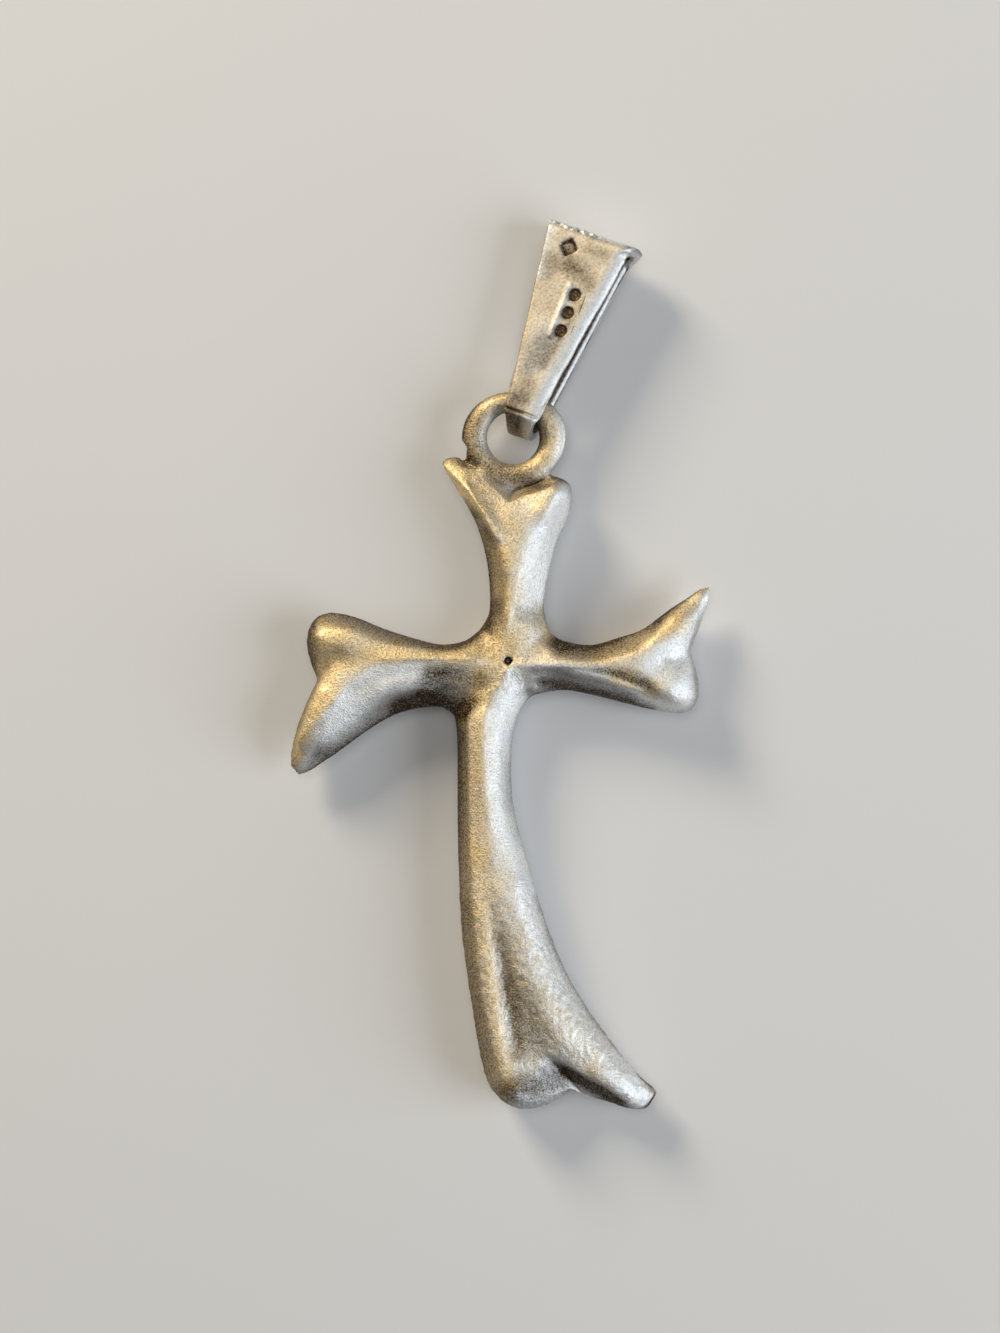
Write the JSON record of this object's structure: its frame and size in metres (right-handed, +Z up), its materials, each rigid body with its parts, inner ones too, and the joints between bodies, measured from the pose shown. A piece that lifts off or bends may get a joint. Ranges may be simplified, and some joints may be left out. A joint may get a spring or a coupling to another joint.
{
  "type": "cross pendant",
  "caption": "Cast silver cross pendant with forked, pointed arms, a soldered ring and a folded strap bail that takes a neck chain.",
  "frame": {"origin": "on the surface the pendant lies on, below the middle of its outline seen from above", "axes": "+Y along the cross from its bottom arm towards the bail, +X towards the right arm, +Z up, out of the face that carries the vent hole"},
  "size_m": [0.0208, 0.044, 0.0032],
  "materials": {
    "cast_silver": "matte tumbled silver, darkened in the recesses",
    "strap_silver": "rolled silver strap, worn satin with bright edges"
  },
  "bodies": {
    "root": {"cross": "cast_silver", "bail": "strap_silver"}
  },
  "joints": []
}
